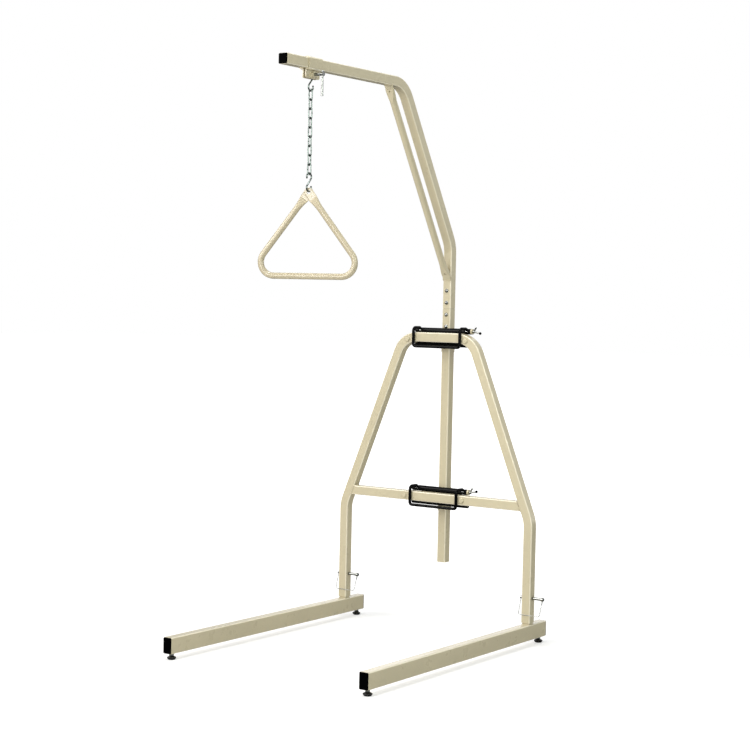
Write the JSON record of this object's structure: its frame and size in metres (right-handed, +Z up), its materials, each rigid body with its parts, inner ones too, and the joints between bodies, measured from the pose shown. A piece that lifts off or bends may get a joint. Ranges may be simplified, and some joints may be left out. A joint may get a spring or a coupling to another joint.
{
  "type": "bed trapeze stand",
  "caption": "Free-standing bed trapeze: bent A-frame on two long feet, clamped mast with a forward boom, sliding hanger, chain and triangular pull handle.",
  "frame": {"origin": "on the floor under the middle of the stand box", "axes": "+X along the crossbars to the side of the pin heads and levers, +Y to the rear behind the mast, +Z up"},
  "size_m": [0.8198, 1.013, 1.8192],
  "materials": {
    "cream_enamel": "gloss enamel",
    "handle_enamel": "gloss enamel",
    "black_enamel": "satin enamel",
    "black_plastic": "moulded",
    "black_rubber": "matt",
    "zinc_steel": "zinc plated",
    "chrome": "polished"
  },
  "bodies": {
    "base": {"left_foot_tube": "cream_enamel", "right_foot_tube": "cream_enamel", "left_foot_caps": "black_plastic", "right_foot_caps": "black_plastic", "left_leg_stub": "cream_enamel", "right_leg_stub": "cream_enamel", "glide_nuts": "zinc_steel", "a_frame_tube": "cream_enamel", "lower_crossbar": "cream_enamel", "stop_studs": "cream_enamel", "upper_mast_sleeve": "cream_enamel", "upper_clamp_rails": "black_enamel", "upper_rail_plugs": "black_plastic", "upper_clamp_bush": "cream_enamel", "lower_mast_sleeve": "cream_enamel", "lower_clamp_rails": "black_enamel", "lower_rail_plugs": "black_plastic", "lower_clamp_bush": "cream_enamel"},
    "mast": {"mast_tube": "cream_enamel", "splice_tube": "zinc_steel", "boom_tube": "cream_enamel", "brace_tube": "cream_enamel", "boom_end_cap": "black_plastic", "stop_screw": "zinc_steel", "splice_bolts": "zinc_steel", "splice_nuts": "zinc_steel"},
    "slider": {"boom_slider": "cream_enamel", "slider_boss": "cream_enamel", "slider_nut": "zinc_steel"},
    "slider_screw": {"slider_screw": "zinc_steel"},
    "tommy_bar": {"tommy_bar": "zinc_steel"},
    "upper_chain": {"upper_s_hook": "chrome", "upper_chain_links": "chrome"},
    "lower_chain": {"lower_chain_links": "chrome"},
    "lower_hook": {"lower_s_hook": "chrome"},
    "handle": {"trapeze_handle": "handle_enamel"},
    "upper_bail": {"upper_clamp_bail": "black_enamel", "upper_clamp_shaft": "zinc_steel"},
    "upper_lever": {"upper_clamp_screw": "zinc_steel", "upper_clamp_lever": "zinc_steel", "upper_lever_ball": "black_plastic"},
    "lower_bail": {"lower_clamp_bail": "black_enamel", "lower_clamp_shaft": "zinc_steel"},
    "lower_lever": {"lower_clamp_screw": "zinc_steel", "lower_clamp_lever": "zinc_steel", "lower_lever_ball": "black_plastic"},
    "left_pin": {"left_lock_pin": "zinc_steel", "left_pin_wire": "zinc_steel"},
    "left_front_glide": {"left_front_pad": "black_rubber", "left_front_stem": "zinc_steel"},
    "left_rear_glide": {"left_rear_pad": "black_rubber", "left_rear_stem": "zinc_steel"},
    "right_pin": {"right_lock_pin": "zinc_steel", "right_pin_wire": "zinc_steel"},
    "right_front_glide": {"right_front_pad": "black_rubber", "right_front_stem": "zinc_steel"},
    "right_rear_glide": {"right_rear_pad": "black_rubber", "right_rear_stem": "zinc_steel"}
  },
  "joints": [
    {"name": "mast_height", "type": "slide", "parent": "base", "child": "mast", "axis": [0, 0, 1], "range_m": [0, 0.15]},
    {"name": "slider_travel", "type": "slide", "parent": "mast", "child": "slider", "axis": [0, 1, 0], "range_m": [-0.066, 0.3]},
    {"name": "slider_screw_turn", "type": "hinge", "parent": "slider", "child": "slider_screw", "pos_m": [-0.01, -0.32475, 1.76862], "axis": [1, 0, 0], "range_deg": [0, 360]},
    {"name": "tommy_bar_slide", "type": "slide", "parent": "slider_screw", "child": "tommy_bar", "axis": [0, 0, 1], "range_m": [0, 0.054]},
    {"name": "chain_swing", "type": "hinge", "parent": "slider", "child": "upper_chain", "pos_m": [-0.01, -0.32475, 1.76862], "axis": [1, 0, 0], "range_deg": [-30, 30]},
    {"name": "chain_bend", "type": "hinge", "parent": "upper_chain", "child": "lower_chain", "pos_m": [-0.01, -0.32475, 1.58432], "axis": [-1, 0, 0], "range_deg": [-25, 25]},
    {"name": "hook_swing", "type": "hinge", "parent": "lower_chain", "child": "lower_hook", "pos_m": [-0.01, -0.32475, 1.47473], "axis": [1, 0, 0], "range_deg": [-25, 25]},
    {"name": "handle_swing", "type": "hinge", "parent": "lower_hook", "child": "handle", "pos_m": [-0.01, -0.32475, 1.42463], "axis": [0, 1, 0], "range_deg": [-30, 30]},
    {"name": "upper_bail_opening", "type": "hinge", "parent": "base", "child": "upper_bail", "pos_m": [-0.01, 0.43602, 1.009], "axis": [-1, 0, 0], "range_deg": [0, 120]},
    {"name": "upper_lever_turn", "type": "hinge", "parent": "base", "child": "upper_lever", "pos_m": [-0.01, 0.43602, 1.009], "axis": [-1, 0, 0], "range_deg": [0, 180]},
    {"name": "lower_bail_opening", "type": "hinge", "parent": "base", "child": "lower_bail", "pos_m": [-0.01, 0.43602, 0.475], "axis": [-1, 0, 0], "range_deg": [0, 120]},
    {"name": "lower_lever_turn", "type": "hinge", "parent": "base", "child": "lower_lever", "pos_m": [-0.01, 0.43602, 0.475], "axis": [-1, 0, 0], "range_deg": [0, 180]},
    {"name": "left_pin_turn", "type": "hinge", "parent": "base", "child": "left_pin", "pos_m": [-0.38, 0.4105, 0.156], "axis": [-1, 0, 0], "range_deg": [0, 144]},
    {"name": "left_front_glide_height", "type": "slide", "parent": "base", "child": "left_front_glide", "axis": [0, 0, -1], "range_m": [0, 0.012]},
    {"name": "left_rear_glide_height", "type": "slide", "parent": "base", "child": "left_rear_glide", "axis": [0, 0, -1], "range_m": [0, 0.012]},
    {"name": "right_pin_turn", "type": "hinge", "parent": "base", "child": "right_pin", "pos_m": [0.352, 0.4105, 0.156], "axis": [-1, 0, 0], "range_deg": [0, 144]},
    {"name": "right_front_glide_height", "type": "slide", "parent": "base", "child": "right_front_glide", "axis": [0, 0, -1], "range_m": [0, 0.012]},
    {"name": "right_rear_glide_height", "type": "slide", "parent": "base", "child": "right_rear_glide", "axis": [0, 0, -1], "range_m": [0, 0.012]}
  ]
}
